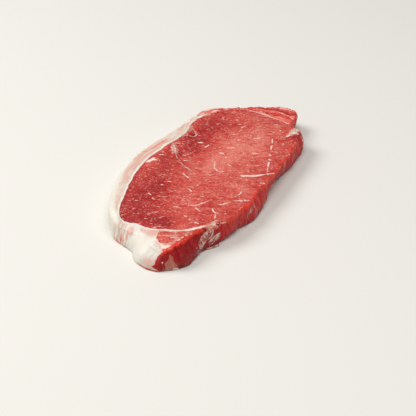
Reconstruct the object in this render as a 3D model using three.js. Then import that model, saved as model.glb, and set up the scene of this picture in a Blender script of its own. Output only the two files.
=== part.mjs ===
// A raw striploin steak, cut across the loin and lying flat on one of its two cut faces.
// Millimetres, +Z up. X runs along the steak, from the thick tail (-X) to the chine end (+X), and the
// fat cap is on the +Y side. The origin is the middle of the steak's box, on the face it lies on.
//
// Every muscle and every block of fat runs right through the steak, from one cut face to the other.
// In plan each is a patch with four sides. Where two of them meet they share a seam, and where one
// meets the air it has a rim, whose foot spreads on the surface that the soft meat lies on.
import * as THREE from "three";

// ---- Driving sizes ----------------------------------------------------------------------------

const THICKNESS = 16; // how thick the steak was cut
const SEAM_GAP = 0.2; // each piece stops this far short of a seam, so that neighbours stay clear
const SHOULDER_DROP = 1.6; // how far the cut face rolls down where it meets the outer wall
const WALL_BULGE = 0.9; // how far the outer wall swells at half height
const CAP_CROWN = 0.5; // the fat cap's cut face stands proud along its middle
const CHINE_RIDGE = 0.7; // height of the ridges on the loose muscle's cut face
const CHINE_RIDGES = 2;
const CENTRE = [2.3, 11.1]; // middle of the whole steak's box, in the plan coordinates below

// Facets along each seam and rim.
const WALL_ROWS = 4; // between the two cut faces
const ALONG = 38; // along the cap side and the bone side
const CAP_ROWS = 3; // across the fat cap
const TAIL_FACETS = 6; // along the tail fat's seam with the eye muscle
const TAIL_MUSCLE_FACETS = 8; // along the tail muscle's
const CHINE_FACETS = TAIL_FACETS + TAIL_MUSCLE_FACETS; // along the chine muscle's
const SPLIT_FACETS = 5; // between tail muscle and tail fat
const CHINE_ROWS = 5; // across the chine muscle

const LEAN_RED = 0xb93434;
const TAIL_RED = 0xa02a2a;
const CHINE_RED = 0xb23030;
const FAT_CREAM = 0xf0dfd2;
const HARD_FAT_WHITE = 0xf3ece0;

// The corners where seams and rims meet.
const CAP_FOOT = [-88.3, 29.3]; // the fat cap ends here, against the tail's hard fat
const TAIL_FORK = [-89.3, 4]; // where tail muscle and tail fat part at the eye muscle
const TAIL_TIP = [-108, -6.5]; // where they part at the rim
const TAIL_END = [-67.5, -30.5]; // the tail muscle thins out here
const BONE_START = [-65.5, -28]; // and the bone side starts beside it
const CHINE_NOTCH = [92.8, -24.6]; // the chine muscle pulls away from the eye muscle here
const CHINE_TOP = [98, 19]; // the far end of the chine muscle, where the fat cap runs out

// Seams and rims in plan. The third number of a rim's point is how far its foot stands out beyond the
// edge of the upper cut face; a negative one is an undercut.
const CAP_SEAM = [
  CAP_FOOT, [-85.5, 35], [-75.5, 38.3], [-50, 45.3], [-24, 50.5], [-4, 51.5], [14, 50.4], [26, 46.6],
  [36, 45.8], [43, 43], [49, 41.8], [57, 43.3], [68, 42.6], [80, 38], [91, 30], CHINE_TOP,
];
const CAP_RIM = [
  [-90.8, 28.5, 4], [-90, 36, 0.5], [-83.5, 43, -2], [-66.4, 51.3, 0], [-44.7, 57.8, 0],
  [-20, 62.2, 0], [0, 62.4, 0], [15, 60, 0], [44.5, 53.4, 0], [72.8, 48.4, 0], [89.6, 42.6, 0],
  [97.5, 32, 0], [103, 21.5, 0],
];
const TAIL_SEAM = [TAIL_FORK, [-89, 17], CAP_FOOT];
const TAIL_MUSCLE_SEAM = [BONE_START, [-76, -19], [-83.5, -12], [-87.6, -4], TAIL_FORK];
const TAIL_SPLIT = [TAIL_TIP, [-103.6, -4.6], [-98.6, 1.8], TAIL_FORK];
const TAIL_FAT_RIM = [
  [...TAIL_TIP, 6.5], [-108, -2.5, 9], [-103.5, 5, 9.5], [-97, 12.5, 7.5], [-93.5, 20.5, 5],
  [-90.8, 28.5, 4],
];
const TAIL_MUSCLE_RIM = [
  [...TAIL_TIP, 6.5], [-105.5, -12, 5], [-97.5, -16, 7], [-88, -18.7, 5], [-78.5, -20.6, 3.5],
  [-73, -24.6, 2.5], [...TAIL_END, 1],
];
const BONE_RIM = [
  [...BONE_START, 1], [-57, -33.5, -1.5], [-42.5, -36.5, -2], [-27, -39.2, 1], [-17.5, -38, 3.5],
  [-4, -39, 0.5], [13, -39.4, -1.5], [34, -39.2, -2], [55, -38.8, 0], [72, -37.4, 1],
  [84, -35.4, 1.5], [90, -31, 0.5], [...CHINE_NOTCH, 0],
];
const CHINE_SEAM = [CHINE_NOTCH, [95.6, -16], [98.4, -7], [99.8, 3], [100.2, 11], CHINE_TOP];
const CHINE_TIP = [[...CHINE_NOTCH, 0], [98, -24.8, 1], [104, -24.6, 1]];
const CHINE_RIM = [
  [104, -24.6, 1], [114, -22, 0.5], [118.8, -16.5, 0.5], [119.4, -9, 0], [115.3, 1, 0],
  [109.6, 11, 0], [103, 21.5, 0],
];

// Broad swells and hollows of the upper cut face: [x, y, reach along X, reach along Y, height].
const SWELLS = [
  [-60, 38, 40, 14, 1.5], // the rim beside the fat cap stands proud
  [20, 42, 45, 12, 1.0],
  [-52, 14, 30, 16, -1.3], // the eye muscle sags behind it
  [28, 20, 26, 13, -1.1],
  [-6, -8, 34, 17, 0.9],
  [66, -6, 26, 20, 0.8],
  [-98, 6, 16, 18, 2.0], // the tail's hard fat holds its height
  [-30, -36, 12, 7, -0.9],
  [40, -36, 18, 7, -1.0],
  [106, -12, 14, 16, -1.6], // the chine muscle lies lower
];

// ---- Plan curves ------------------------------------------------------------------------------

// A smooth path through points [x, y, spread], cut into equal facets.
function path(points, facets) {
  const vectors = points.map(([x, y, spread = 0]) => new THREE.Vector3(x, y, spread));
  return new THREE.CatmullRomCurve3(vectors, false, "centripetal").getSpacedPoints(facets);
}

// Two paths that follow each other, as one.
function joined(first, second) {
  return [...first, ...second.slice(1)];
}

function backwards(points) {
  return [...points].reverse();
}

const lastOf = (points) => points[points.length - 1];

// A side of a piece: a seam that it shares with a neighbour, or a rim of its own.
const seam = (points) => ({ points, rim: false });
const rim = (points) => ({ points, rim: true });

// ---- A slab: one muscle or one block of fat ---------------------------------------------------

// Height of the upper cut face.
function faceHeight(x, y) {
  const swell = ([cx, cy, rx, ry, rise]) => rise * Math.exp(-(((x - cx) / rx) ** 2) - ((y - cy) / ry) ** 2);
  return SWELLS.reduce((height, each) => height + swell(each), THICKNESS);
}

// The edge of a slab, counter-clockwise. Each point has its place on the upper face, the place of its
// foot on the lower face, and the way that its wall spreads.
function edgeOf(sides) {
  const points = sides.flatMap((side) => side.points.slice(0, -1));
  const owners = sides.flatMap((side, index) =>
    side.points.slice(0, -1).map((_, k) => (k ? [side, side] : [sides[(index + 3) % 4], side])),
  );
  const count = points.length;
  const heading = (from, to) => new THREE.Vector2(to.x - from.x, to.y - from.y).normalize();
  const outward = (way) => new THREE.Vector2(way.y, -way.x);

  return points.map((point, k) => {
    const [before, after] = owners[k];
    const wayIn = heading(points[(k + count - 1) % count], point);
    const wayOut = heading(point, points[(k + 1) % count]);
    const top = new THREE.Vector2(point.x, point.y);
    const spread = new THREE.Vector2();
    if (before === after) {
      const normal = outward(wayIn).add(outward(wayOut)).normalize();
      if (before.rim) spread.copy(normal);
      else top.addScaledVector(normal, -SEAM_GAP);
    } else {
      if (!before.rim) top.addScaledVector(outward(wayIn), -SEAM_GAP);
      if (!after.rim) top.addScaledVector(outward(wayOut), -SEAM_GAP);
      if (before.rim && after.rim) spread.addVectors(outward(wayIn), outward(wayOut)).normalize();
      else if (before.rim) spread.copy(wayOut).negate();
      else if (after.rim) spread.copy(wayIn);
    }
    const reach = after.rim ? point.z : lastOf(before.points).z;
    const foot = top.clone().addScaledVector(spread, reach);
    return { top, spread, foot, rim: before.rim || after.rim };
  });
}

// Fills the edge with a grid of plan points: a Coons patch between its four sides.
function fill(edge, nu, nv) {
  const at = (k) => edge[k % edge.length];
  const corners = [at(0), at(nu), at(nu + nv), at(2 * nu + nv)];
  const grid = [];
  for (let j = 0; j <= nv; j++) {
    const v = j / nv;
    for (let i = 0; i <= nu; i++) {
      const u = i / nu;
      const [south, east, north, west] = [at(i), at(nu + j), at(2 * nu + nv - i), at(2 * (nu + nv) - j)];
      const mix = (key) =>
        (1 - v) * south[key] + v * north[key] + (1 - u) * west[key] + u * east[key] -
        (1 - u) * (1 - v) * corners[0][key] - u * (1 - v) * corners[1][key] -
        u * v * corners[2][key] - (1 - u) * v * corners[3][key];
      grid.push(new THREE.Vector2(mix("x"), mix("y")));
    }
  }
  return grid;
}

// Builds the solid between the two cut faces. south and east run along +u and +v, north and west run
// back again, and opposite sides have the same number of facets. relief(u, v) adds to the upper face.
function slab({ name, color, roughness, south, east, north, west, relief = () => 0 }) {
  const nu = south.points.length - 1;
  const nv = east.points.length - 1;
  const edge = edgeOf([south, east, north, west]);
  const upper = fill(edge.map((each) => each.top), nu, nv);
  const lower = fill(edge.map((each) => each.foot), nu, nv);

  const stride = nu + 1;
  const rimOf = edge.map((_, k) => {
    if (k <= nu) return k;
    if (k <= nu + nv) return nu + (k - nu) * stride;
    if (k <= 2 * nu + nv) return nv * stride + nu - (k - nu - nv);
    return (2 * (nu + nv) - k) * stride;
  });
  const heights = upper.map((p, index) => {
    const [u, v] = [(index % stride) / nu, Math.floor(index / stride) / nv];
    return faceHeight(p.x, p.y) + relief(u, v);
  });
  edge.forEach((each, k) => {
    if (each.rim) heights[rimOf[k]] -= SHOULDER_DROP;
  });

  const positions = [];
  upper.forEach((p, index) => positions.push(p.x, p.y, heights[index]));
  lower.forEach((p) => positions.push(p.x, p.y, 0));

  const rows = [rimOf];
  for (let row = 1; row < WALL_ROWS; row++) {
    const down = row / WALL_ROWS;
    rows.push(
      edge.map(({ top, spread, foot, rim }, k) => {
        const place = top.clone().lerp(foot, down);
        if (rim) place.addScaledVector(spread, WALL_BULGE * Math.sin(Math.PI * down));
        positions.push(place.x, place.y, heights[rimOf[k]] * (1 - down));
        return positions.length / 3 - 1;
      }),
    );
  }
  rows.push(rimOf.map((index) => index + upper.length));

  const triangles = [];
  for (let j = 0; j < nv; j++) {
    for (let i = 0; i < nu; i++) {
      const a = j * stride + i;
      const [b, c, d] = [a + 1, a + stride + 1, a + stride];
      triangles.push(a, b, c, a, c, d);
      triangles.push(...[a, c, b, a, d, c].map((index) => index + upper.length));
    }
  }
  for (let row = 0; row < WALL_ROWS; row++) {
    for (let k = 0; k < edge.length; k++) {
      const next = (k + 1) % edge.length;
      const [a, b, c, d] = [rows[row][k], rows[row + 1][k], rows[row + 1][next], rows[row][next]];
      triangles.push(a, b, c, a, c, d);
    }
  }

  const geometry = new THREE.BufferGeometry();
  geometry.setAttribute("position", new THREE.Float32BufferAttribute(positions, 3));
  geometry.setIndex(triangles);
  geometry.computeVertexNormals();
  const mesh = new THREE.Mesh(geometry, new THREE.MeshStandardMaterial({ color, roughness, metalness: 0 }));
  mesh.name = name;
  return mesh;
}

// ---- The pieces -------------------------------------------------------------------------------

const capSeam = path(CAP_SEAM, ALONG);
const capRim = path(CAP_RIM, ALONG);
const boneRim = path(BONE_RIM, ALONG);
const tailSeam = path(TAIL_SEAM, TAIL_FACETS);
const tailMuscleSeam = path(TAIL_MUSCLE_SEAM, TAIL_MUSCLE_FACETS);
const tailSplit = path(TAIL_SPLIT, SPLIT_FACETS);
const chineSeam = path(CHINE_SEAM, CHINE_FACETS);

// The long lean muscle that fills most of the steak. Its cut face is dished between the proud fat cap
// and the thicker middle.
function eyeMuscle() {
  return slab({
    name: "eye_muscle",
    color: LEAN_RED,
    roughness: 0.4,
    south: rim(boneRim),
    east: seam(chineSeam),
    north: seam(backwards(capSeam)),
    west: seam(backwards(joined(tailMuscleSeam, tailSeam))),
  });
}

// The band of back fat along the +Y side.
function fatCap() {
  return slab({
    name: "fat_cap",
    color: FAT_CREAM,
    roughness: 0.5,
    south: seam(capSeam),
    east: seam(path([CHINE_TOP, lastOf(CAP_RIM)], CAP_ROWS)),
    north: rim(backwards(capRim)),
    west: seam(path([CAP_RIM[0], CAP_FOOT], CAP_ROWS)),
    relief: (u, v) => CAP_CROWN * Math.sin(Math.PI * v),
  });
}

// The block of hard white fat at the tail. Its wall leans well out over the surface.
function tailFat() {
  return slab({
    name: "tail_fat",
    color: HARD_FAT_WHITE,
    roughness: 0.5,
    south: seam(tailSplit),
    east: seam(tailSeam),
    north: seam(path([CAP_FOOT, lastOf(TAIL_FAT_RIM)], SPLIT_FACETS)),
    west: rim(backwards(path(TAIL_FAT_RIM, TAIL_FACETS))),
  });
}

// The small dark muscle beside it, which thins out along the bone side.
function tailMuscle() {
  return slab({
    name: "tail_muscle",
    color: TAIL_RED,
    roughness: 0.4,
    south: rim(path(TAIL_MUSCLE_RIM, TAIL_MUSCLE_FACETS)),
    east: rim(path([lastOf(TAIL_MUSCLE_RIM), [...BONE_START, 1]], SPLIT_FACETS)),
    north: seam(tailMuscleSeam),
    west: seam(backwards(tailSplit)),
  });
}

// The loose muscle at the far end, ridged along its length where its fibres part.
function chineMuscle() {
  return slab({
    name: "chine_muscle",
    color: CHINE_RED,
    roughness: 0.4,
    south: rim(path(CHINE_TIP, CHINE_ROWS)),
    east: rim(path(CHINE_RIM, CHINE_FACETS)),
    north: seam(path([lastOf(CHINE_RIM), CHINE_TOP], CHINE_ROWS)),
    west: seam(backwards(chineSeam)),
    relief: (u) => CHINE_RIDGE * Math.cos(2 * Math.PI * CHINE_RIDGES * u),
  });
}

const steak = new THREE.Group();
steak.add(eyeMuscle(), fatCap(), tailFat(), tailMuscle(), chineMuscle());
for (const mesh of steak.children) mesh.geometry.translate(-CENTRE[0], -CENTRE[1], 0);
export default steak;
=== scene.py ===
import math
from itertools import product

import bpy
import numpy as np
from mathutils import Matrix, Vector


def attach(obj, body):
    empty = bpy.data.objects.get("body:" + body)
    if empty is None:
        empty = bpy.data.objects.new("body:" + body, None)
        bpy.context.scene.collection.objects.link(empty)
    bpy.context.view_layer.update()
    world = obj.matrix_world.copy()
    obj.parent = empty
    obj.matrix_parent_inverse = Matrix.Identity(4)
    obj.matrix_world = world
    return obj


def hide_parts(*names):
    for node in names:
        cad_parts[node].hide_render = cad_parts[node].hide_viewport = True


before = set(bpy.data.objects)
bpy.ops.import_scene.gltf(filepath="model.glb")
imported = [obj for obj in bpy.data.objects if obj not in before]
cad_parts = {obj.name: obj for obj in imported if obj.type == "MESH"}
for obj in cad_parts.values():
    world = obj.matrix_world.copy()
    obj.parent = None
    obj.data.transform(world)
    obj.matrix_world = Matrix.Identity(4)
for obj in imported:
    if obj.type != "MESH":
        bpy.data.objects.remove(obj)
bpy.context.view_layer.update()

# ---- Eye muscle -------------------------------------------------------------------------------
# The long lean muscle that fills most of the steak: raw beef, cut straight across its fibres with a
# knife. Its fibres stand on end in small bundles, its edge rolls over to a short wall, and thin fat
# lies between the bundles as marbling. Lengths are in millimetres from here on.

PLAN_MIDDLE = np.array([2.3, 11.1])  # the middle of the steak, in the coordinates of the curves below
CUT_HEIGHT = 16.0  # how thick the steak was cut
WALL_BULGE = 0.9  # how far the outer wall swells at half height
FLARE_REACH = 5.4  # how far in from the outline the meat still leans out with the wall
FLARE_CURVE = 0.065  # how much sooner a wall with a wide foot starts to lean out
RIM_REACH = 4.0  # how far in from the outline the swell, the foot and the bundles are felt
FOOT_ROUND = 1.3  # radius that the wall's foot turns under with
HALF_BOX = (118.3, 52.5)  # nothing reaches further from the middle along x and y,
HIGHEST = 17.85  # or stands higher
BOX_EASE = 0.25  # how softly a wall is held back there
SEAM_STEP = 0.5  # spacing of the points along a seam or a side

# Corners where muscles and fat meet.
CAP_FOOT, TAIL_FORK, TAIL_TIP = (-86, 30.4), (-89.6, 4), (-108.1, -6.4)
TAIL_END, BONE_START = (-67.5, -30.5), (-65.5, -28)
CHINE_NOTCH, CHINE_TOP = (92.8, -24.6), (98, 19)

# Seams between the pieces.
CAP_SEAM = [
    CAP_FOOT, (-83.6, 35.2), (-75.5, 39), (-63, 42.2), (-50, 45), (-36.6, 48), (-23, 50), (-11, 50.4),
    (0, 50), (9, 48.2), (18, 46), (27, 44), (36, 42.2), (43, 41), (48.5, 41.2), (57, 42.9), (66, 42.4),
    (73, 40.6), (80, 37), (86, 33), (91.5, 28), CHINE_TOP,
]
CHINE_SEAM = [CHINE_NOTCH, (95.6, -16), (98.4, -7), (99.8, 3), (100.2, 11), CHINE_TOP]
TAIL_SEAM = [TAIL_FORK, (-88.6, 11), (-86.9, 18), (-85.8, 24), CAP_FOOT]
TAIL_MUSCLE_SEAM = [BONE_START, (-71, -22.5), (-78, -16.8), (-83.5, -11.8), (-87.5, -4), TAIL_FORK]
TAIL_SPLIT = [TAIL_TIP, (-103.6, -3.6), (-98.6, 2.2), TAIL_FORK]

# The steak's outline, counter-clockwise, piece by piece. Each point has how far its foot stands out.
BONE_RIM = [
    (*BONE_START, 1), (-57, -33.5, -1.5), (-42.5, -36.5, -1.5), (-27, -39.2, 1.6), (-17.5, -38, 3.4),
    (-4, -39, 1), (6, -39.3, -1.6), (14, -39.4, -4.2), (24, -39.3, -5.2), (34, -39.2, -4.6),
    (44, -39, -2.4), (55, -38.8, -0.8), (72, -37.4, 0.6), (84, -35.6, 1.5), (87.6, -33, 0.8),
    (89.3, -28.8, 0.3), (*CHINE_NOTCH, 0),
]
CHINE_TIP = [(*CHINE_NOTCH, -1), (97.5, -23, -2.4), (103.5, -23, -3)]
CHINE_RIM = [
    (103.5, -23, -3), (113.4, -21.7, -3), (118.2, -17, -2), (119.4, -9, 0), (115.3, 1, 0),
    (109.6, 11, 0), (103, 21.5, 0),
]
CAP_RIM = [
    (103, 21.5, 0), (97.5, 32, 0), (89.6, 42.6, 0), (72.8, 48.4, 0), (44.5, 53.4, 0), (15, 60, 0),
    (0, 62.4, 0), (-20, 62.2, 0), (-44.7, 57.8, 0), (-66.4, 51.3, 0), (-83.5, 43, -2), (-90, 36, 0.5),
    (-90.8, 28.5, 4),
]
TAIL_FAT_RIM = [
    (-90.8, 28.5, 4), (-93.5, 20.5, 5), (-97, 12.5, 7.5), (-103.5, 5, 9.5), (-108.2, -4, 9),
    (*TAIL_TIP, 7),
]
TAIL_MUSCLE_RIM = [
    (*TAIL_TIP, 7), (-107.6, -8.4, 5.6), (-105.5, -12, 5), (-97.5, -16, 7), (-88, -18.7, 5),
    (-78.5, -20.6, 3.5), (-73, -24.6, 2.5), (*TAIL_END, 1),
]
TAIL_STEP = [(*TAIL_END, 1), (*BONE_START, 1)]

# Swells and hollows of the upper cut face: x, y, reach along x, reach along y, height.
SWELLS = [
    (-60, 38, 40, 14, 1.5), (20, 42, 45, 12, 1.0),  # it stands proud beside the fat cap
    (-52, 14, 30, 16, -1.3), (28, 20, 26, 13, -1.1),  # and sags behind it
    (-6, -8, 34, 17, 0.9), (66, -6, 26, 20, 0.8), (-98, 6, 16, 18, 1.6), (-30, -36, 12, 7, -0.9),
    (40, -36, 18, 7, -1.0), (106, -12, 14, 16, -1.6), (47, 33, 8, 5, -0.9), (14, 31, 10, 5, -0.6),
    (20, 41, 8, 4, 0.5), (-2, 44, 8, 3.5, 0.5),
    (79, -31, 6, 5, 0.8),  # a lobe of fat at the far corner of the bone side
]

# Folds and creases of the cut face: depth, half width and course.
FOLDS = [
    (0.8, 0.9, [(25, 43.5), (26, 40), (25, 37), (22, 34)]),
    (0.4, 1.2, [(22, 38.5), (18, 34.5), (15, 31.5), (10, 32)]),
    (0.3, 1.2, [(9, 33), (4, 25), (-2, 16), (-1, 10)]), (-0.35, 1.5, [(21, 41), (16, 37), (11, 36)]),
    (0.7, 0.9, [(44, 41), (43.5, 36), (48, 34), (50.5, 36.5), (52, 39)]),
    (-0.5, 1.2, [(41, 38), (43, 33.5), (49, 31.5), (53, 35)]),
    (0.35, 1.4, [(-47, -32), (-38, -26), (-30, -20)]), (0.3, 1.5, [(30, -34), (20, -28), (8, -24)]),
]


def smooth_path(points, spacing=SEAM_STEP, count=None):
    """A smooth path through the points, as evenly spaced points."""
    knots = np.array(points, float)
    knots = np.vstack([2 * knots[0] - knots[1], knots, 2 * knots[-1] - knots[-2]])
    fine = []
    for k in range(1, len(knots) - 2):
        near = knots[k - 1 : k + 3]
        gaps = np.linalg.norm(np.diff(near, axis=0), axis=1) ** 0.5
        slope_in = (near[1] - near[0]) / gaps[0] - (near[2] - near[0]) / (gaps[0] + gaps[1])
        slope_in = (slope_in + (near[2] - near[1]) / gaps[1]) * gaps[1]
        slope_out = (near[2] - near[1]) / gaps[1] - (near[3] - near[1]) / (gaps[1] + gaps[2])
        slope_out = (slope_out + (near[3] - near[2]) / gaps[2]) * gaps[1]
        t = np.linspace(0, 1, 60, endpoint=False)[:, None]
        fine.append(
            (2 * t**3 - 3 * t**2 + 1) * near[1] + (t**3 - 2 * t**2 + t) * slope_in
            + (3 * t**2 - 2 * t**3) * near[2] + (t**3 - t**2) * slope_out
        )
    fine = np.vstack([*fine, knots[-2:-1]])
    run = np.concatenate([[0], np.cumsum(np.linalg.norm(np.diff(fine, axis=0), axis=1))])
    stops = np.linspace(0, run[-1], (count or max(2, round(run[-1] / spacing))) + 1)
    return np.stack([np.interp(stops, run, column) for column in fine.T], 1)


def at_fractions(path, fractions):
    """The points of an evenly spaced path at fractions of its length."""
    stops = np.linspace(0, 1, len(path))
    return np.stack([np.interp(fractions, stops, column) for column in path.T], 1)


def nearest(path, places):
    """How far each place is from a path, and where along it the nearest point is, in path points."""
    best = np.full(len(places), 1e9)
    where = np.zeros(len(places))
    for k in range(len(path) - 1):
        start, way = path[k, :2], path[k + 1, :2] - path[k, :2]
        along = np.clip((places - start) @ way / max(way @ way, 1e-12), 0, 1)
        gap = np.hypot(*(places - start - along[:, None] * way).T)
        closer = gap < best
        best[closer], where[closer] = gap[closer], k + along[closer]
    return best, where


def step(value, low, high):
    """0 below low, 1 above high, and smooth between them."""
    t = np.clip((value - low) / (high - low), 0, 1)
    return t * t * (3 - 2 * t)


def fade(value, low, high):
    """1 below low, 0 above high, and smooth between them."""
    return 1 - step(value, low, high)


def stretch(value, start, end):
    """1 from start to end, eased over 6 mm at both."""
    return step(value, start, start + 6) * fade(value, end - 6, end)


def bell(value, reach):
    """1 where the value is 0, fading out past its reach."""
    return np.exp(-((value / reach) ** 2))


def blob(x, y, middle_x, middle_y, reach_x, reach_y):
    """1 in the middle of a blob, fading out round it."""
    return np.exp(-(((x - middle_x) / reach_x) ** 2) - ((y - middle_y) / reach_y) ** 2)


dice = np.random.default_rng(20)
SHUFFLE = np.concatenate([dice.permutation(256)] * 2)
SLOPES = dice.normal(size=(256, 3))
SLOPES /= np.linalg.norm(SLOPES, axis=1)[:, None]


def ripple(places, grain, seed=0):
    """Smooth random relief, about -1 to 1, with lumps of the given sizes in millimetres. places are
    points, or their three coordinates."""
    if isinstance(places, tuple):
        places = np.column_stack(np.broadcast_arrays(*places))
    scaled = places / np.array(grain)
    cell = np.floor(scaled).astype(int)
    part = scaled - cell
    ease = part**3 * (part * (part * 6 - 15) + 10)
    total = np.zeros(len(places))
    for corner in product((0, 1), repeat=3):
        x, y, z = (cell + corner + seed).T & 255
        slope = SLOPES[SHUFFLE[SHUFFLE[SHUFFLE[x] + y] + z]]
        weight = np.prod(np.where(corner, ease, 1 - ease), axis=1)
        total += weight * ((part - corner) * slope).sum(1)
    return total * 1.7


# The whole outline, with the width and depth of the shoulder that the cut face rolls over in.
outline, shoulders = [], []
for rim, width, depth in (
    (BONE_RIM, 1.7, 1.5), (CHINE_TIP, 1.7, 1.4), (CHINE_RIM, 2.2, 1.6), (CAP_RIM, 5.0, 3.8),
    (TAIL_FAT_RIM, 1.8, 0.4), (TAIL_MUSCLE_RIM, 2.4, 1.8), (TAIL_STEP, 2.0, 1.5),
):
    samples = smooth_path(rim, spacing=0.8)[:-1]
    outline.append(samples)
    shoulders.append(np.tile([width, depth], (len(samples), 1)))
outline, shoulders = np.vstack(outline), np.vstack(shoulders)


def blended(values, span):
    """Values round the outline, each averaged with its neighbours."""
    kernel = np.hanning(span + 2)[1:-1]
    wrapped = np.vstack([values[-span:], values, values[:span]])
    return np.stack([np.convolve(c, kernel / kernel.sum(), "same") for c in wrapped.T], 1)[span:-span]


ways = np.roll(outline[:, :2], -1, axis=0) - np.roll(outline[:, :2], 1, axis=0)
outward = blended(np.stack([ways[:, 1], -ways[:, 0]], 1), 9)
outward /= np.linalg.norm(outward, axis=1)[:, None]
round_outline = np.vstack([outline, outline[:1]])
rim_facts = np.hstack([outward, blended(outline[:, 2:], 15), blended(shoulders, 15)])
rim_facts = np.vstack([rim_facts, rim_facts[:1]])
outline_step = np.linalg.norm(np.diff(round_outline[:, :2], axis=0), axis=1).mean()


def along_outline(point):
    """How far along the outline a point on the tail's side of it lies. It is negative, see Plan."""
    return (nearest(round_outline, np.array([point]))[1][0] - len(outline)) * outline_step


class Plan:
    """Places on the upper cut face, and what the outline says about each: how far inside it they are,
    the way out, how far the foot stands out there, and the shoulder's width and depth."""

    def __init__(self, places):
        self.places = places
        self.inside, where = nearest(round_outline, places)
        facts = [np.interp(where, np.arange(len(rim_facts)), column) for column in rim_facts.T]
        self.outward = np.stack(facts[:2], 1)
        self.outward /= np.linalg.norm(self.outward, axis=1)[:, None]
        self.spread, self.width, self.depth = facts[2:]
        # Along the outline from the start of the bone side, negative on the way to the tail.
        self.around = np.where(where > 0.5 * len(outline), where - len(outline), where) * outline_step


# Where the wall's fibre bundles stand out: from and to along the outline, width of a bundle, height.
WALL_BUNDLES = [
    (-56, -4, 3.4, 0.9), (-8, 42, 5.2, 1.0), (36, 112, 4.2, 0.95), (104, 172, 4.8, 1.0),
    (162, 236, 3.6, 0.65),
]
# The layered corner between cap and tail: thickness of a sheet of fat, and how far it stands out.
LAYERED_CORNER, SHEET, SHEET_STANDS = along_outline(CAP_RIM[-1][:2]), 2.8, 0.24


def corner_sheets(plan, z):
    """The layered corner: 1 where it is, and from -1 to 1 across each sheet of fat."""
    gap = plan.around - LAYERED_CORNER
    here = step(gap, -12, -7) * fade(gap, 6, 10) * bell(plan.inside, 5)
    drift = 1.1 * ripple((plan.around, plan.around, z), (11, 11, 10), 5)
    return here, np.sin(2 * math.pi * (plan.around / SHEET + drift))


def between_sheets(plan):
    """How pink the layered corner is, from 0 to 1. It is pink between its sheets of fat."""
    here, wave = corner_sheets(plan, plan.z)
    torn = ripple((plan.around, plan.z, plan.z), (3.4, 8, 8))
    return here * np.clip(0.5 - 0.2 * wave + 0.5 * torn, 0, 1)


def bundles(plan, z):
    """How far the wall's bundles stand out, in millimetres."""
    here, wave = corner_sheets(plan, z)
    total = SHEET_STANDS * here * wave
    for start, end, width, height in WALL_BUNDLES:
        spots = (plan.around, start, z)
        relief = ripple(spots, (width, 1, 11), 5) + 0.55 * ripple(spots, (0.42 * width, 1, 6), 9)
        total += height * stretch(plan.around, start, end) * relief
    return total * step(z, 0.3, 3)


NOSE_WIDTH, NOSE_DEPTH = 18.0, 5.9  # the tail's block of fat rolls down in a blunt nose
tail_fat_rim = smooth_path(TAIL_FAT_RIM[:-1], spacing=1.5)


def cut_face(plan, relief):
    """Height of the upper cut face, rolled over at the outline."""
    x, y = plan.places.T
    height = np.full(len(x), CUT_HEIGHT)
    for *place, rise in SWELLS:
        height += rise * blob(x, y, *place)
    for depth, width, course in FOLDS:
        height -= depth * bell(nearest(smooth_path(course, spacing=1.5), plan.places)[0], width)
    nose = np.clip(1 - nearest(tail_fat_rim, plan.places)[0] / NOSE_WIDTH, 0, 1)
    height -= NOSE_DEPTH * nose**2
    height += 0.30 * ripple((x, y, 0), (13, 9, 9)) + 0.15 * ripple((x, y, 0), (5, 3.4, 5), 7)
    height += (0.07 + 0.25 * bell(plan.inside, 2.5)) * ripple((x, y, 0), (2.3, 1.8, 2), 19)
    short = np.clip(1 - plan.inside / plan.width, 0, 1)
    depth = plan.depth / (1 + (np.maximum(plan.spread, 0) / 4) ** 2)  # softer where the wall leans out
    return height + relief - depth * (1 - np.sqrt(1 - short**2))


def stand(plan, top, down):
    """Where the meat under each place lies, down from 0 at the upper cut face to 1 at the lower one."""
    near_rim = bell(plan.inside, RIM_REACH)
    flare = 1 - (1 - down) ** (1 + FLARE_CURVE * np.maximum(plan.spread, 0))
    lean = plan.spread * bell(plan.inside, FLARE_REACH) * flare
    swell = WALL_BULGE * np.sin(math.pi * down) * near_rim
    z = top * (1 - down)
    under = np.clip(1 - z / FOOT_ROUND, 0, 1)
    turn = FOOT_ROUND * (1 - np.sqrt(1 - under**2)) * near_rim
    out = lean + swell - turn + bundles(plan, z) * near_rim
    spot = np.column_stack([plan.places + plan.outward * out[:, None], z])
    for axis in (0, 1):  # the wall isn't straight: its fibre bundles stand out a little
        large, small = ripple(spot, (8, 8, 14), 31 + axis), ripple(spot, (2.6, 2.6, 9), 41 + axis)
        spot[:, axis] += 0.5 * large + 0.2 * small
    spot[:, :2] -= PLAN_MIDDLE
    for axis, limit in enumerate(HALF_BOX):
        room = limit - np.abs(spot[:, axis])
        eased = BOX_EASE * np.log1p(np.exp(np.clip(room, -8, 4) / BOX_EASE))
        eased = np.where(room < 4, eased, room)
        spot[:, axis] = np.sign(spot[:, axis]) * (limit - eased)
    spot[:, 2] = np.clip(spot[:, 2], 0, HIGHEST)
    return spot


def graded(count, first=None, last=None):
    """Fractions from 0 to 1, closer together at an end that has a rim."""
    t = np.linspace(0, 1, count + 1)
    if first:
        t = t ** (1 + first * (1 - t))
    if last:
        t = 1 - (1 - t) ** (1 + last * t)
    return t


WALL_ROWS = 1 - (1 - np.linspace(0, 1, 27)[1:]) ** 1.25  # how far down each row of a wall is
FLOOR_STEP = 4  # the lower cut face has every fourth row of points


def ring_of(grid):
    """The outermost entries of a grid, in order round it."""
    return np.concatenate([grid[0, :-1], grid[:-1, -1], grid[-1, :0:-1], grid[:0:-1, 0]])


def new_piece(name, spots, faces):
    """A smooth mesh object from spots in millimetres."""
    mesh = bpy.data.meshes.new(name)
    mesh.from_pydata((spots / 1000).tolist(), [], faces)
    mesh.shade_smooth()
    piece = bpy.data.objects.new(name, mesh)
    bpy.context.scene.collection.objects.link(piece)
    return piece


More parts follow.
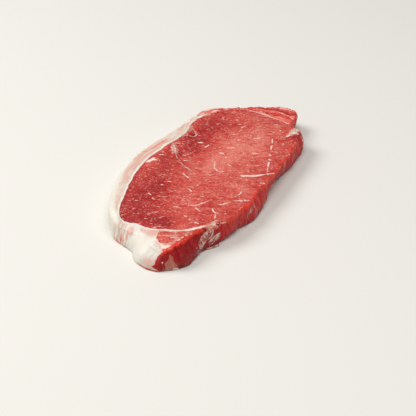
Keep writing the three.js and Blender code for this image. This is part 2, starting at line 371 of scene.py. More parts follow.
def slab(name, sides, size, grade_u=(None, None), grade_v=(None, None), relief=None):
    """A muscle or block of fat between the two cut faces, and the plan of its vertices. sides are
    paths: south and north run along u, west and east along v."""
    south, east, north, west = sides
    nu, nv = size
    u, v = graded(nu, *grade_u), graded(nv, *grade_v)
    s, n = at_fractions(south[:, :2], u), at_fractions(north[:, :2], u)
    w, e = at_fractions(west[:, :2], v), at_fractions(east[:, :2], v)
    uu, vv = u[None, :, None], v[:, None, None]
    grid = (1 - vv) * s[None] + vv * n[None] + (1 - uu) * w[:, None] + uu * e[:, None]
    grid -= (1 - uu) * (1 - vv) * s[0] + uu * (1 - vv) * s[-1] + uu * vv * n[-1] + (1 - uu) * vv * n[0]
    upper = grid.reshape(-1, 2)

    index = np.arange(len(upper)).reshape(nv + 1, nu + 1)
    loop = ring_of(index)
    inner = index[FLOOR_STEP:-1:FLOOR_STEP, FLOOR_STEP:-1:FLOOR_STEP].ravel()
    rows = len(WALL_ROWS)
    source = np.concatenate([index.ravel(), *[loop] * rows, inner])
    down = np.concatenate([np.zeros(index.size), np.repeat(WALL_ROWS, len(loop)), np.ones(len(inner))])

    plan = Plan(upper)
    top = cut_face(plan, relief(plan) if relief else 0)
    for key, values in list(vars(plan).items()):
        setattr(plan, key, values[source])
    spots = stand(plan, top[source], down)

    corners = [index[:-1, :-1], index[:-1, 1:], index[1:, 1:], index[1:, :-1]]
    faces = [np.stack(corners, -1).reshape(-1, 4)]
    ring = loop
    for row in range(rows):
        below = index.size + row * len(loop) + np.arange(len(loop))
        faces.append(np.stack([ring, below, np.roll(below, -1), np.roll(ring, -1)], 1))
        ring = below
    faces = [tuple(face) for face in np.vstack(faces).tolist()]

    floor = np.full(index.shape, -1)
    floor.ravel()[loop] = ring
    floor.ravel()[inner] = np.arange(len(inner)) + index.size + rows * len(loop)
    for j, i in product(range(0, nv, FLOOR_STEP), range(0, nu, FLOOR_STEP)):
        edge = ring_of(floor[j : j + FLOOR_STEP + 1, i : i + FLOOR_STEP + 1])
        faces.append(tuple(edge[edge >= 0][::-1].tolist()))

    piece = new_piece(name, spots, faces)
    piece.data.set_sharp_from_angle(angle=math.radians(50))
    # For each vertex: how far down it is, the height of the cut face over it, and its own height.
    plan.down, plan.top, plan.z = down, top[source], spots[:, 2]
    plan.on_top, plan.below = down == 0, down > 0
    plan.on_side = plan.below & (plan.inside < 0.01)
    return piece, plan


def gap_to(seam, places):
    """How far each place is from a seam, of which every third point is enough."""
    return nearest(seam[::3], places)[0]


def mark(piece, **marks):
    """Keeps numbers for each vertex, for the material to read."""
    layers = piece.data.attributes
    for name, values in marks.items():
        layer = layers.get(name) or layers.new(name, "FLOAT", "POINT")
        layer.data.foreach_set("value", np.ascontiguousarray(values, np.float32))


cap_seam, chine_seam, tail_seam, tail_muscle_seam, tail_split = (
    smooth_path(seam)
    for seam in (CAP_SEAM, CHINE_SEAM, TAIL_SEAM, TAIL_MUSCLE_SEAM, TAIL_SPLIT)
)
eye_west = np.vstack([tail_muscle_seam, tail_seam[1:]])
eye, eye_plan = slab(
    "eye_muscle_lean", (smooth_path(BONE_RIM), chine_seam, cap_seam, eye_west),
    (340, 148), grade_v=(0.25, None),
)

# Where the lean is deeper in colour (below 0) or paler (above 0): x, y, reach along x and y, amount.
# The pale zones over the middle and the far end are partly a painted sheen of the wet face.
TONES = [
    (-42, 32, 32, 13, -1.0), (-75, 20, 16, 20, -0.5), (38, 32, 20, 10, -1.0), (4, 36, 14, 8, -0.4),
    (66, 30, 18, 10, -0.5), (-30, -2, 28, 16, 0.25), (2, 6, 14, 10, 0.3), (22, 0, 36, 18, 0.75),
    (56, -12, 30, 18, 0.7), (-12, -26, 18, 10, 0.75), (78, -34, 9, 5, -1.0), (5, -35, 14, 4, -0.5),
    (-79, -9, 8, 5, 0.6), (88, 8, 14, 16, 0.35), (60, 39, 10, 4, 0.3), (-50, -22, 14, 10, -0.1),
    (-81, 8, 8, 10, -1.5), (-80, 24, 7, 9, -0.9), (72, 19, 14, 12, -0.45), (-30, 29, 9, 7, -0.3),
    (34, 26, 14, 7, -0.3),
]

# Fat and membrane that show as lines on the cut face, the long vein first: half width, course.
VEINS = [
    (1.1, [(2.4, -19), (5, -24), (8, -28.5), (12, -33)]), (0.6, [(11, -32), (16, -37), (19, -39)]),
    (0.4, [(64, -20), (58, -22.5)]), (0.7, [(55, -23), (49, -24.5)]), (0.8, [(41, -26), (41, -27.5)]),
    (0.85, [(35, -28), (34, -30)]), (0.7, [(31.5, -29.5), (25.5, -31)]),
    (0.4, [(24, -31.5), (18, -33.5)]), (0.55, [(-50, 0), (-49, -5), (-44, -9), (-39, -12)]),
    (0.35, [(-49, -6), (-52, -8), (-55, -12)]), (0.5, [(-47, -18), (-51, -21), (-52, -24)]),
    (0.35, [(-52, -22), (-60, -25)]), (0.55, [(-41, -20), (-38.5, -22.5), (-35, -25)]),
    (0.5, [(-32, -27), (-29, -30), (-27, -33)]), (0.4, [(-27, -33), (-25, -37)]),
    (0.4, [(-26, -26), (-23, -27), (-18, -28)]), (0.4, [(15, 6), (5, 2), (3, 0), (1, -4), (3, -5.5)]),
    (0.35, [(-47, 24), (-45, 18), (-42, 16)]), (0.55, [(38, 5), (40, 0)]),
    (0.75, [(29, 8), (28.5, 4.5)]), (0.75, [(37.5, -14.5), (39, -18)]),
    (0.5, [(58, -7.5), (60, -10), (62, -12)]), (0.4, [(65, -3), (72, -5)]), (0.4, [(69, 7), (74, 5)]),
    (0.4, [(56, 11), (58, 8), (61, 5)]), (0.7, [(36, 28), (39, 25)]), (0.45, [(33, 21), (38, 19)]),
    (0.8, [(33.2, 21), (33.6, 20.2)]), (0.5, [(-28, 27), (-25, 22)]), (0.6, [(-33, 28), (-32, 26)]),
    (0.45, [(14, -4), (12, -8)]), (0.4, [(-28, 10), (-30, 6), (-32, 4)]),
    (0.65, [(-52, 25.2), (-52, 24.6)]), (0.55, [(-55, 8), (-54, 4)]), (0.5, [(-48, 30), (-49, 27.5)]),
    (0.55, [(-64, -4), (-65, -6)]), (0.7, [(-67, -9), (-67.5, -9.8)]), (0.45, [(-71, -14), (-70, -17)]),
    (0.4, [(-69, 18), (-67, 15)]), (0.65, [(79, -20), (79.5, -20.8)]), (0.65, [(79, 26), (79.5, 25)]),
    (0.5, [(61, -29), (61.5, -30)]), (0.6, [(31, -17), (31.4, -17.8)]),
    (0.55, [(20, -17), (20.4, -17.8)]), (0.5, [(0, -35), (0.4, -38)]), (0.45, [(7, 27), (11, 22)]),
    (0.5, [(52, 1), (52.3, 0.2)]), (0.45, [(87, 1), (87.4, 0.2)]),
    # a white streak on the fat nodule, partly its fat and partly a painted highlight
    (0.8, [(71.5, -28), (74, -29.4), (78, -30)]),
    # pale edges of the folds and a few torn fibres
    (0.4, [(10.5, 34.6), (8, 32)]), (0.1, [(8, 31), (1.8, 25), (-1.9, 19)]),
    (0.0, [(10, 31), (5, 23.5), (2, 17)]), (0.5, [(22, 40.6), (19, 38.6), (15, 36.6)]),
    (1.2, [(-8, 49), (-4, 47.6), (-1, 46.9)]), (0.7, [(-4, 46.5), (-3, 44)]),
    (0.6, [(4.5, 45), (6, 42)]), (0.5, [(9.5, 44.5), (10, 43.2)]), (0.35, [(-10, 20), (-16, 12)]),
]
# The thin fat that follows each seam of the eye muscle, where it shows: half width, course.
EYE_EDGES = [
    (0.7, CHINE_SEAM), (1.4, TAIL_MUSCLE_SEAM[1:4]), (0.8, TAIL_MUSCLE_SEAM[3:]),
    (0.8, [(-77, -21), (-70, -24.2), (-64.5, -28)]), (0.15, [(-67, -26), (-62, -30), (-58, -32.8)]),
    (0.3, TAIL_SEAM), (0.2, CAP_SEAM[4:]), (0.5, [(98.4, -9), (95.4, -16.5), (92.5, -22)]),
]
# Thin grey-pink skin, torn so that the meat shows through: half width, course.
SKINS = [
    (2.6, [(23, 42), (18, 38.6), (13, 36)]), (2.6, [(-9, 49.3), (-4, 47), (0, 46.8)]),
    (2.0, [(-3.6, 46), (-2.6, 43)]), (2.0, [(47, 40), (52, 40.5), (58, 42)]),
    (2.4, [(-72, -22), (-64, -28)]), (3.0, [(73, -28), (79, -30), (86, -29)]),
    (1.8, [(74, 41), (84, 36)]),
]
# Membrane on the bone side's wall, in places along the outline and heights: half width, then course.
WALL_VEINS = [
    (0.4, [(87, 12), (85.5, 8), (86, 4)]), (0.5, [(69, 3), (73, 2)]),
    (0.9, [(149, 12), (153, 8), (151, 5)]),
]
WALL_SKINS = [
    (3.4, [(2, 14), (-6, 6), (-12, 0)]), (1.4, [(43.6, 12), (36, 9), (34.8, 6)]),
    (1.6, [(109, 12), (111, 3)]), (1.6, [(131, 9), (133, 4)]), (2.4, [(152, 12), (151, 4)]),
    (1.5, [(60, 4), (74, 2)]),
]
SKIN_EDGE = (-1.2, 2.0)  # a torn skin thins out between these distances inside its edge
OUTSIDE = -9.0  # a distance that stands for being nowhere near
# Where an orange-red glow is painted on the rim of the cut face, as light shining through it where it is
# thin: from, to, strength.
PAINTED_RIM_GLOWS = [
    (-56, -12, 1.0), (8, 44, 1.0), (38, 62, 0.5), (60, 112, 0.85), (104, 140, 0.7), (150, 236, 0.35),
]


def tone_of(plan):
    """How deep or pale the lean is. It is darkest along the fat cap, partly blood and partly a painted
    shadow of the cap, and low on the wall, which is darkened all over and more towards its foot as
    painted shade.
    """
    x, y = plan.places.T
    on_wall = plan.below * bell(plan.inside, 2)
    mottle = ripple((plan.around, 0, plan.z), (6, 1, 9), 13)
    stands = bundles(plan, plan.z)  # blood gathers between the bundles, and shade is painted there too
    # On the wall, painted shade: darker all over, and more so towards the foot.
    tone = on_wall * (0.9 * mottle + 1.5 * stands - 0.5 - 1.5 * fade(plan.z, 0, 9))
    for *place, amount in TONES:
        tone += amount * blob(x, y, *place)
    # Painted shadow of the cap, with blood, on the lean beside it.
    cap_shadow_and_blood = bell(gap_to(cap_seam, plan.places), 1.7)
    return tone - 1.7 * cap_shadow_and_blood * fade(x, -30, 5) * plan.on_top


def within(places, lines):
    """How far inside the nearest of the lines each place is, in millimetres; below 0 outside."""
    best = np.full(len(places), OUTSIDE)
    for half_width, course in lines:
        path = smooth_path([point[:2] for point in course], spacing=1.2)
        gap, where = nearest(path, places)
        share = np.clip(where / (len(path) - 1), 0, 1)
        best = np.maximum(best, half_width * (1 - 0.5 * (2 * share - 1) ** 4) - gap)
    return best


def linear(code):
    """An sRGB hex colour as linear RGBA."""
    parts = [int(code[k : k + 2], 16) / 255 for k in (1, 3, 5)]
    return (*[c / 12.92 if c <= 0.04045 else ((c + 0.055) / 1.055) ** 2.4 for c in parts], 1)


def feed(tree, node, feeds):
    """Gives each of a node's inputs a value, or the socket that feeds it."""
    for key, value in feeds.items():
        if isinstance(value, bpy.types.NodeSocket):
            tree.links.new(value, node.inputs[key])
        else:
            node.inputs[key].default_value = value


def add(tree, kind, feeds, out=0, **settings):
    """Adds a node with its settings and links, and returns one of its outputs."""
    node = tree.nodes.new("ShaderNode" + kind)
    for key, value in settings.items():
        setattr(node, key, value)
    feed(tree, node, feeds)
    return node.outputs[out]


def sum_of(tree, start, *parts):
    """start plus the products of the pairs that follow."""
    for one, other in parts:
        start = add(tree, "Math", {0: one, 1: other, 2: start}, operation="MULTIPLY_ADD")
    return start


def share(tree, *steps):
    """How much of something shows: the product of smooth steps. A step is the socket that it follows,
    where it starts and ends, and its values there if they aren't 0 and 1."""
    total = None
    for value, start, end, *levels in steps:
        low, high = levels or (0.0, 1.0)
        feeds = {"Value": value, "From Min": start, "From Max": end, "To Min": low, "To Max": high}
        level = add(tree, "MapRange", feeds, interpolation_type="SMOOTHSTEP")
        total = level if total is None else sum_of(tree, 0.0, (total, level))
    return total


def coats(tree, first, *others):
    """Colours laid one over another, each by its share from 0 to 1."""
    under = linear(first)
    for amount, colour in others:
        upper = linear(colour) if isinstance(colour, str) else colour
        under = add(tree, "Mix", {0: amount, 6: under, 7: upper}, out=2, data_type="RGBA")
    return under


def new_material(name, squeeze, *noises):
    """A material with its tree, its places in millimetres, squeezed along the fibres, and its noises.
    Each noise is the lumps per millimetre, detail and roughness."""
    made = bpy.data.materials.new(name)
    made.use_nodes = True
    tree = made.node_tree
    place = add(tree, "TexCoord", {}, "Object")
    mm = add(tree, "VectorMath", {0: place, 1: (1000, 1000, 1000 * squeeze)}, operation="MULTIPLY")
    kinds = [{"Vector": mm, "Scale": s, "Detail": d, "Roughness": r} for s, d, r in noises]
    return made, tree, mm, *[add(tree, "TexNoise", kind) for kind in kinds]


def sway(tree, places, scale, reach):
    """The places, swayed to and fro, because nothing in meat runs straight."""
    way = add(tree, "TexNoise", {"Vector": places, "Scale": scale, "Detail": 1}, "Color")
    return add(tree, "VectorMath", {0: way, 1: reach, 2: places}, operation="MULTIPLY_ADD")


def dress(tree, height, strength, distance, **surface):
    """Gives the surface its bump and its settings."""
    bump = add(tree, "Bump", {"Height": height, "Strength": strength, "Distance": distance})
    named = {key.replace("_", " "): value for key, value in surface.items()}
    feed(tree, tree.nodes["Principled BSDF"], {**named, "Normal": bump})


FIBRE_STRETCH = 0.13  # patterns are drawn out along the fibres, which run from cut face to cut face
BUNDLE = 1.9  # width of a fibre bundle, about twice the real one so that it shows
FLECK_TURN = math.radians(69)  # the marbling's flecks lie this way on the cut face
STREAK = (6.0, 1.2)  # length and width of a streak that the knife leaves
FLECKS = [  # length, width, how rare from 0 to 1, size within its cell, how white
    (5.0, 1.9, 0.5, 0.31, 0.85), (10.5, 3.0, 0.72, 0.22, 1.0), (3.2, 1.7, 0.3, 0.36, 0.7),
    (2.2, 1.5, 0.2, 0.4, 0.55),
]


def raw_beef(name, deep, red, pale, outside, flecks=1.0, rough=0.36):
    """Raw beef, cut with a knife and moist. The eye sees standing fibre bundles in a pale net of
    connective tissue, flecks of fat that lie one way, and small wet glints. Its walls are a brighter
    red, partly a painted glow, with a little painted shade, and an orange-red glow is painted along
    thin rims."""
    beef, tree, mm, broad, patch, speck = new_material(  # drifts of 14 mm, patches of 5, specks of 1
        name, FIBRE_STRETCH, (0.07, 2, 0.5), (0.2, 3, 0.6), (0.8, 3, 0.68)
    )
    fat_inside, skin, tone, rim, glow, wall = (
        add(tree, "Attribute", {}, "Fac", attribute_name=mark_name)
        for mark_name in ("fat_inside", "skin", "tone", "rim", "glow", "wall")
    )
    swayed = sway(tree, mm, 0.12, (6, 6, 1.5))

    # Bundles: a net of pale lines round cells that differ a little in colour.
    cells = {"Vector": swayed, "Scale": 1 / BUNDLE, "Randomness": 1}
    net = add(tree, "TexVoronoi", cells, "Distance", feature="DISTANCE_TO_EDGE")
    own = add(tree, "SeparateColor", {0: add(tree, "TexVoronoi", cells, "Color", feature="F1")})
    on_face = sum_of(tree, 1.0, (wall, -0.85))
    net = share(tree, (net, 0.0, 0.24, 1, 0), (patch, 0.36, 0.64, 0.15, 1))
    net = sum_of(tree, 0.0, (net, on_face))

    # The knife has dragged the fibres, and flecks of marbling in four sizes lie the same way.
    turned = add(tree, "VectorRotate", {"Vector": swayed, "Angle": FLECK_TURN}, rotation_type="Z_AXIS")
    feeds = {0: turned, 1: (1 / STREAK[0], 1 / STREAK[1], 0.5)}
    dragged = add(tree, "VectorMath", feeds, operation="MULTIPLY")
    streak = add(tree, "TexNoise", {"Vector": dragged, "Scale": 1, "Detail": 1.5, "Roughness": 0.5})
    fat = 0.0
    for length, width, rare, size, white in FLECKS:
        feeds = {0: turned, 1: (1 / length, 1 / width, 0.5)}
        stretched = add(tree, "VectorMath", feeds, operation="MULTIPLY")
        gap = add(tree, "TexVoronoi", {"Vector": stretched, "Scale": 1}, "Distance", feature="F1")
        luck = add(tree, "SeparateColor", {0: gap.node.outputs["Color"]}, 1)
        reach = share(tree, (luck, rare, 1, -0.06, size))
        inside = sum_of(tree, -0.05, (reach, 1), (gap, -1), (speck, 0.34))
        fleck = share(tree, (inside, 0.03, 0.34, 0, white * flecks))
        fat = add(tree, "Math", {0: fat, 1: fleck}, operation="MAXIMUM")
    fat = sum_of(tree, 0.0, (fat, on_face))

    # Fat and membranes that have a place of their own.
    edge = sum_of(tree, 0.0, (fat_inside, 1), (speck, 1.5), (patch, 0.6))
    fat_share = add(tree, "Math", {0: fat, 1: share(tree, (edge, 0.7, 1.4))}, operation="MAXIMUM")
    feeds = {0: share(tree, (edge, 0.8, 1.4)), 1: sum_of(tree, 0.0, (fat, fat))}
    bright = add(tree, "Math", feeds, operation="MAXIMUM")
    torn = sum_of(tree, -0.95, (skin, 0.9), (speck, 1.2), (patch, 0.5))
    # Painted glow: orange-red in patches along the rim, where light would shine through the thin meat.
    painted_glow_band = sum_of(tree, -1.9, (rim, 1), (patch, 3.8))
    painted_glow_strength = sum_of(tree, 0, (glow, 0.7), (speck, 1))

    # The walls are darkened a little here as painted shade, and below they are laid over with a brighter
    # red, partly their own colour and partly a painted glow of light through the meat.
    shade = sum_of(
        tree, -1.03, (tone, 0.5), (broad, 0.7), (patch, 0.4), (own, 0.25), (speck, 1.1),
        (wall, -0.15), (streak, 1.1),
    )
    colour = coats(
        tree, deep, (share(tree, (shade, 0.1, 0.85)), red), (share(tree, (shade, 0.65, 1.5)), pale),
        (sum_of(tree, 0.0, (wall, 0.6)), outside),
        (sum_of(tree, 0.0, (net, 0.22)), "#E48A78"),
        (share(tree, (torn, 0.0, 0.9, 0, 0.7)), "#CE947E"),
        # painted glow along the thin rim
        (share(tree, (painted_glow_band, -1.8, -0.2), (painted_glow_band, 0.3, 2.0, 1, 0), (painted_glow_strength, 0.35, 1.05)), "#E03A26"),
        (fat_share, coats(tree, "#DD9280", (bright, "#F3D8CA"))),
    )
    height = sum_of(
        tree, 0.0, (net, -0.3), (speck, 1.1), (own, 0.35), (patch, 1.0), (streak, 0.5), (fat_share, 0.3)
    )
    dress(
        tree, height, 1.0, 0.00045, Base_Color=colour,
        Roughness=sum_of(tree, rough - 0.25, (speck, 0.3), (patch, 0.2), (fat_share, 0.1)),
        IOR=1.38, Specular_IOR_Level=0.36, Coat_Weight=0.06, Coat_Roughness=0.12,
        Subsurface_Weight=0.18, Subsurface_Radius=(1.0, 0.25, 0.15), Subsurface_Scale=0.0012,
    )
    return beef


def mark_lean(piece, plan, edges=(), lines=(), wall_lines=(), skins=(), wall_skins=()):
    """What raw_beef reads: the fat and membranes that have a place, the tone with its painted shade, the
    rim, the painted glow of the rim and the wall.
    The edges show on both cut faces, lines and skins on the upper one."""
    wall = np.column_stack([plan.around, plan.z])
    upper = np.where(plan.below, OUTSIDE, within(plan.places, lines))
    face = np.maximum(upper, within(plan.places, edges))
    skin = np.where(plan.below, OUTSIDE, within(plan.places, skins))
    glow = [strength * stretch(plan.around, start, end) for start, end, strength in PAINTED_RIM_GLOWS]
    mark(
        piece, tone=tone_of(plan), glow=np.max(glow, axis=0),
        fat_inside=np.where(plan.on_side, within(wall, wall_lines), face),
        skin=step(np.where(plan.on_side, within(wall, wall_skins), skin), *SKIN_EDGE),
        rim=np.where(plan.below, -plan.down * plan.top, plan.inside),
        wall=plan.on_side * (0.35 + 0.65 * step(plan.z, 0, 8)),
    )


lean = raw_beef("raw_beef_knife_cut", "#9A1017", "#BE382F", "#DA7768", "#D01A1C")
mark_lean(eye, eye_plan, EYE_EDGES, VEINS, WALL_VEINS, SKINS, WALL_SKINS)
eye.data.materials.append(lean)
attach(eye, "root")
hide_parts("eye_muscle")

# ---- Fat cap ----------------------------------------------------------------------------------
# The band of back fat that was under the hide: firm beef fat, trimmed to an even band. Its outer
# side is smooth, dry and creamy, its cut face is pinker, and a thin white skin joins it to the lean.

LOBULE = 2.4  # width of a fat lobule


def beef_fat(name, cream, rosy, white, rough=0.42):
    """Raw beef fat. The eye sees a soft waxy cream with faint lobules, white skins, and pink or red
    where blood or lean has stained it, on a surface that shines less than the lean. It reads how
    rosy, bloody and white each place is marked."""
    fat, tree, mm, patch, speck = new_material(name, 0.45, (0.22, 3, 0.6), (0.9, 4, 0.7))
    marked_rosy, marked_bloody, marked_white = (
        add(tree, "Attribute", {}, "Fac", attribute_name=mark_name)
        for mark_name in ("rosy", "bloody", "white")
    )
    feeds = {"Vector": sway(tree, mm, 0.3, (3, 3, 3)), "Scale": 1 / LOBULE, "Randomness": 1}
    edges = add(tree, "TexVoronoi", feeds, "Distance", feature="DISTANCE_TO_EDGE")
    lobules = share(tree, (edges, 0.0, 0.22, 1, 0))
    stain = sum_of(tree, -0.5, (marked_rosy, 1), (patch, 0.7), (speck, 0.3))
    blood = sum_of(tree, -0.55, (marked_bloody, 1), (patch, 0.7), (speck, 0.55))
    skin = sum_of(tree, -0.4, (marked_white, 1), (speck, 0.8))
    colour = coats(
        tree, cream, (share(tree, (stain, 0.0, 0.9)), rosy), (sum_of(tree, 0.0, (lobules, 0.14)), rosy),
        (share(tree, (blood, 0.35, 0.75)), "#D8786A"), (share(tree, (blood, 0.7, 1.1)), "#BE3A2C"),
        (share(tree, (blood, 1.2, 1.5)), "#A3151A"), (share(tree, (skin, 0.15, 0.6)), white),
    )
    dress(
        tree, sum_of(tree, 0.0, (lobules, -0.15), (speck, 0.7), (patch, 0.9)), 0.5, 0.0003,
        Base_Color=colour, Roughness=sum_of(tree, rough - 0.15, (speck, 0.2), (patch, 0.14)), IOR=1.44,
        Subsurface_Weight=0.3, Subsurface_Radius=(1.0, 0.6, 0.45), Subsurface_Scale=0.0014,
    )
    return fat


CAP_STANDS = 0.55  # how far the cap stands above the lean beside it


def cap_relief(plan):
    """How far the cap's cut face stands above the lean's."""
    x = plan.places[:, 0]
    rise = step(gap_to(cap_seam, plan.places), 0, 2.2)
    return CAP_STANDS * rise * (1 - 0.5 * step(x, 20, 60)) * step(x, -89, -80)


cap, cap_plan = slab(
    "fat_cap_back_fat",
    (cap_seam, smooth_path([CHINE_TOP, CAP_RIM[0][:2]], count=8),
     smooth_path(CAP_RIM)[::-1], smooth_path([CAP_FOOT, CAP_RIM[-1][:2]], count=8)),
    (340, 28), grade_v=(0.35, 0.35), relief=cap_relief,
)

# Red threads in the cap's middle, then streaks of white fat in its far end: half width, course.
CAP_THREADS = [
    (0.35, [(-6, 57.6), (4, 56.6), (12, 53.6), (22, 50.6), (34, 49.6)]),
    (0.6, [(3.5, 60.5), (5, 57.5), (6.5, 55.5)]),
]
CAP_WHITES = [
    (1.1, [(72, 44.5), (69, 42), (75, 41)]), (0.5, [(80, 43), (86, 40), (91, 35), (94, 30)]),
    (0.7, [(60, 47.5), (66, 45.5)]), (0.6, [(96, 29), (99, 24)]), (0.3, [(85, 36), (90, 32)]),
]
x, y = cap_plan.places.T
gap, along = nearest(cap_seam[::3], cap_plan.places)
on_top = cap_plan.on_top
cut = step(gap, 1.2, 2.2) * step(cap_plan.inside, 2.0, 5.0) * (on_top | (cap_plan.down == 1))
pink = between_sheets(cap_plan)
far = step(x, 58, 90)
thread = within(cap_plan.places, CAP_THREADS)
uneven = ripple((x, y, 0), (6, 3, 1), 41)
layers = ripple((1.5 * along, gap, 0), (17, 1.6, 1), 47)  # the fat grew in layers
seam_skin = step(gap, 0.3, 0.6) * fade(gap, 0.8, 1.7) * on_top
mark(
    cap,
    rosy=cut * (0.45 + 0.35 * bell(x, 30) + (0.35 + 0.45 * bell(x - 10, 25)) * layers)
    + 0.9 * pink + 0.2 * step(x, 40, 80),
    # at the seam a dark red edge, partly the lean's colour and partly painted shade of the cap's step
    bloody=(0.5 * step(thread, -0.4, 0.3) + 1.6 * fade(gap, 0.05, 0.35)) * on_top
    + far * (0.75 + 0.5 * ripple((x, y, 0), (4, 2.5, 1), 23))
    + 0.9 * pink * fade(cap_plan.z, 1, 10) + 0.8 * cut * bell(x - 10, 22) * np.maximum(layers, 0),
    white=np.clip(0.85 + 1.4 * uneven, 0.1, 1.1) * seam_skin
    * (1 - 0.35 * step(x, -15, 5) - 0.35 * step(x, 22, 34) - 0.15 * far)
    + on_top * (0.42 + 0.9 * uneven) * step(within(cap_plan.places, CAP_WHITES), -0.7, 0.8)
    + 0.25 * fade(cap_plan.inside, 0.5, 3) * (1 - far) * (1 - pink),
)
cap.data.materials.append(beef_fat("beef_back_fat", "#D8D4C6", "#D2A493", "#EEE5DA"))
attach(cap, "root")
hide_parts("fat_cap")

# ---- Tail fat ---------------------------------------------------------------------------------
# The block of hard white fat at the tail, on the flank side. It is firmer and whiter than the cap,
# pulled into a blunt nose, and stained pink beside the lean and near its foot.

tail_north = smooth_path([TAIL_FAT_RIM[0][:2], CAP_FOOT], count=8)
tail, tail_plan = slab(
    "tail_hard_fat",
    (tail_split, tail_seam, tail_north, smooth_path(TAIL_FAT_RIM)[::-1]),
    (64, 72), grade_u=(0.3, None),
)
x, y = tail_plan.places.T
z = tail_plan.z
on_top, below = tail_plan.on_top, tail_plan.below
gap, split = gap_to(tail_seam, tail_plan.places), gap_to(tail_split, tail_plan.places)
foot = fade(z, 0.5, 2.6) * bell(tail_plan.inside, 2.5)
pink = between_sheets(tail_plan)
beside = along_outline(TAIL_TIP) - tail_plan.around  # how far along the outline from the tail muscle
patch = blob(beside, z, 5.5, 5, 3, 3) * below
edge = 2.6 * step(z, 0, 3.5) * fade(z, 8.5, 12.5) - 0.4
edge += 0.6 * ripple((tail_plan.around, z, z), (1.6, 2.4, 2.4), 51)
lean_over = step(edge - beside, -0.3, 0.4) * below * (beside > -5)
blush = fade(y, 13, 22) * bell(gap - 2.8, 2.2)  # beside the eye muscle and the fork
blush = on_top * np.clip(blush + 0.7 * blob(x, y, -94.5, 7, 5, 5), 0, 1)
mark(
    tail,
    rosy=0.7 * blush + 0.5 * on_top * fade(split, 0.5, 5)
    + 0.75 * patch + 0.9 * pink + below * 0.35 * fade(beside, 0, 5),
    bloody=0.6 * pink * fade(z, 1, 8) + below * 0.95 * foot * fade(beside, 9, 15)
    + 0.3 * patch + 1.8 * lean_over,
    white=0.9 * fade(gap, 0.5, 1.3) * on_top + 0.7 * step(beside, 8, 14) * (1 - pink) * (1 - blush),
)
tail.data.materials.append(beef_fat("hard_white_beef_fat", "#C3C0B4", "#D0A091", "#D6CFC3", rough=0.38))
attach(tail, "root")
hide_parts("tail_fat")

# ---- Tail muscle ------------------------------------------------------------------------------
# The small dark muscle beside the tail fat. Fat has grown round its bundles, so they show as pink
# lumps on its cut face, and its wall is deep red with skin torn over it.

LUMPS = [  # the bundles on its cut face: half width, then course
    (1.6, [(-93.8, 1.5), (-92, -2.5), (-90.3, -7.2)]), (2.9, [(-98.2, 1.2), (-98.4, -4), (-97.4, -9.5)]),
    (1.7, [(-89.5, -9.8), (-85, -13)]), (1.3, [(-92.5, -12), (-86.5, -16.5)]),
    (1.6, [(-83, -17.5), (-74, -21.5)]),
]
TAIL_FACE_FATS = [(1.3, TAIL_MUSCLE_SEAM[1:4]), (0.9, TAIL_MUSCLE_SEAM[3:]), (0.5, TAIL_SPLIT)]
TAIL_WALL_FATS = [  # fat on its wall, in places along the outline and heights
    (1.3, [(-57, 12.6), (-52.5, 13.6)]), (0.9, [(-53, 13.2), (-50, 13.8)]),
    (1.2, [(-57, 10.6), (-55.6, 11)]), (0.45, [(-52.4, 6.3), (-52.3, 5.8)]),
    (1.0, [(-55.6, 2.4), (-54.8, 0.6)]), (0.7, [(-47, 1.2), (-44, 0.4)]),
]
PAINTED_RIM_GLINTS = [  # white dashes on the rim of its cut face: painted glints of the wet rim
    (0.45, [(-97, -13), (-95, -14.2)]), (0.45, [(-92.6, -14.2), (-91, -15.4)]),
    (0.45, [(-89, -15.4), (-87.4, -16.8)]), (0.4, [(-86, -17.6), (-84.4, -18.4)]),
    (0.5, [(-96, -7.4), (-95.6, -8.6)]),
]
TAIL_WALL_SKINS = [  # skin torn over its wall, placed as the fat there
    (2.0, [(-13, 13), (-19, 4), (-22, 0)]), (1.4, [(-55.5, 2.5), (-54.5, 0.5)]),
]
tail_muscle, muscle_plan = slab(
    "tail_muscle_lean",
    (smooth_path(TAIL_MUSCLE_RIM), smooth_path([p[:2] for p in TAIL_STEP], count=8),
     tail_muscle_seam[::-1], tail_split),
    (108, 48), grade_v=(0.3, None),
)
places, x = muscle_plan.places, muscle_plan.places[:, 0]
around, z, inside = muscle_plan.around, muscle_plan.z, muscle_plan.inside
wall = np.column_stack([around, z])
below, on_side = muscle_plan.below, muscle_plan.on_side
lump = within(places, LUMPS)
between = step(-lump, -0.4, 0.9) * step(inside, 1.0, 4.5) * (1 - 0.5 * step(x, -90, -76))
white = 0.35 - 1.2 * step(x, -104.5, -98.5) - 1.3 * fade(inside, 0.8, 3)
glints, fats = within(places, PAINTED_RIM_GLINTS), within(places, TAIL_FACE_FATS)
white = np.max([white, 0.9 * between - 1.05, glints, fats], axis=0)
wall_fat = np.where(on_side, within(wall, TAIL_WALL_FATS), OUTSIDE)
wedge = 0.1 + 0.3 * (12.5 - z) - np.abs(around + 48.4 - 0.06 * z)  # torn skin, wide at the foot
wedge += 1.3 * ripple((around, around, z), (2.2, 9, 5), 21)
skin = step(within(wall, TAIL_WALL_SKINS), *SKIN_EDGE)
skin = on_side * np.maximum(skin, 0.75 * step(wedge, -0.8, 1.0))
end = step(within(places, [(2.6, [(-73, -22), (-68, -27)])]), *SKIN_EDGE)
deep = -1.0 * blob(around, z, -36, 4, 9, 7)
mark_lean(tail_muscle, muscle_plan)
mark(
    tail_muscle,
    skin=np.where(below, skin, np.maximum(end, 1.25 * between)),
    fat_inside=np.where(below, wall_fat, white),
    tone=tone_of(muscle_plan) + np.where(below, deep, 0.6 * step(inside, 0.8, 3)),
)
dark_lean = raw_beef(
    "raw_beef_dark_muscle", "#76080F", "#B21A20", "#DA6A5B", "#A50D13", flecks=0.5, rough=0.3
)
tail_muscle.data.materials.append(dark_lean)
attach(tail_muscle, "root")
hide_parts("tail_muscle")

